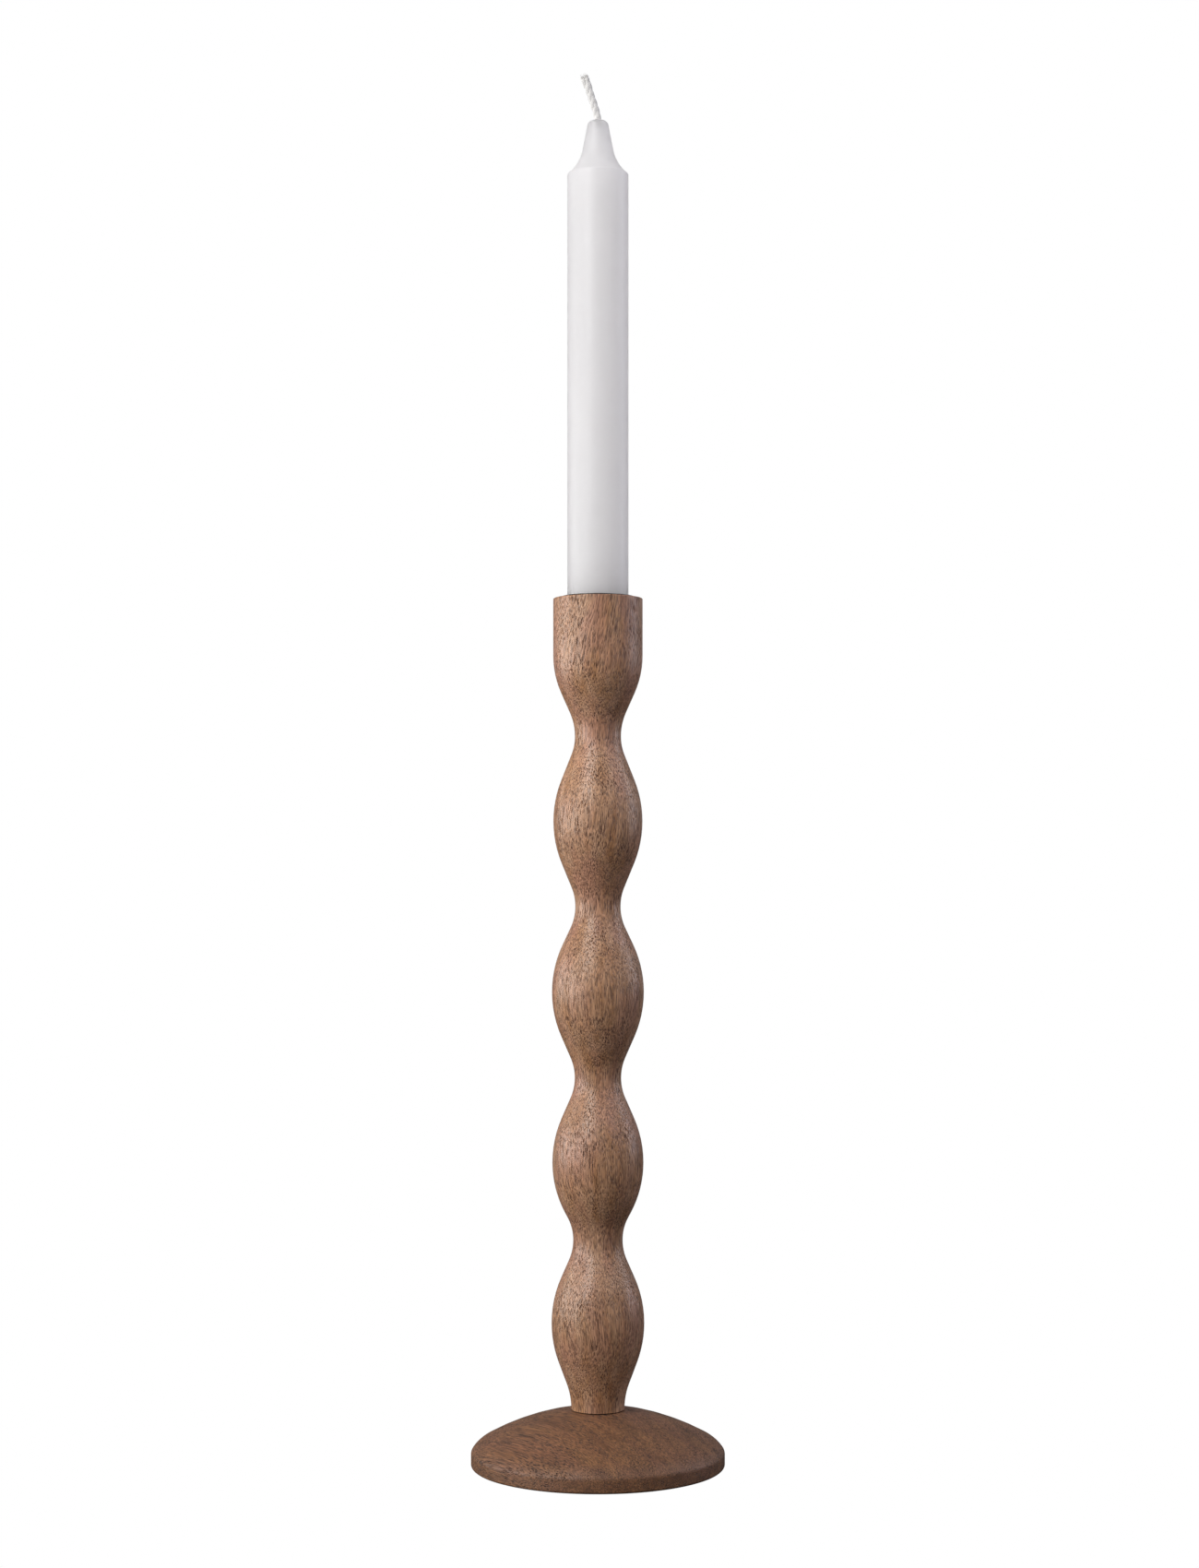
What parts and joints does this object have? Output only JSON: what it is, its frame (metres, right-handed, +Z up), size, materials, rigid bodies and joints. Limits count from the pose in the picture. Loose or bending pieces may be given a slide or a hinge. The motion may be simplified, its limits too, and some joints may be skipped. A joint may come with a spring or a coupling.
{
  "type": "wooden candlestick with candle",
  "caption": "Turned wooden candlestick: a slim beaded stem on a low domed round base, with a metal-lined cup holding an unlit white tapered-tip candle with a wick.",
  "frame": {"origin": "centre of the felt's underside, which is the face the candlestick stands on", "axes": "+Z up along the stem's axis; -Y towards the viewer; the wick leans towards -X"},
  "size_m": [0.0914, 0.0914, 0.5014],
  "materials": {
    "dark_felt": "pressed felt, matt",
    "base_wood": "oiled hardwood, darker, open pores",
    "stem_wood": "oiled hardwood, satin, open pores",
    "zinc_steel": "zinc plated",
    "bronzed_metal": "dark bronzed sheet metal",
    "wax": "smooth satin wax",
    "cotton_wick": "braided cotton, unlit"
  },
  "bodies": {
    "holder": {"felt_pad": "dark_felt", "base": "base_wood", "washer": "zinc_steel", "assembly_screw": "zinc_steel", "stem": "stem_wood", "candle_cup": "bronzed_metal", "cup_screw": "zinc_steel"},
    "candle_body": {"candle": "wax", "wick": "cotton_wick"}
  },
  "joints": [
    {"name": "candle_lift", "type": "slide", "parent": "holder", "child": "candle_body", "axis": [0, 0, 1], "range_m": [0, 0.03]}
  ]
}
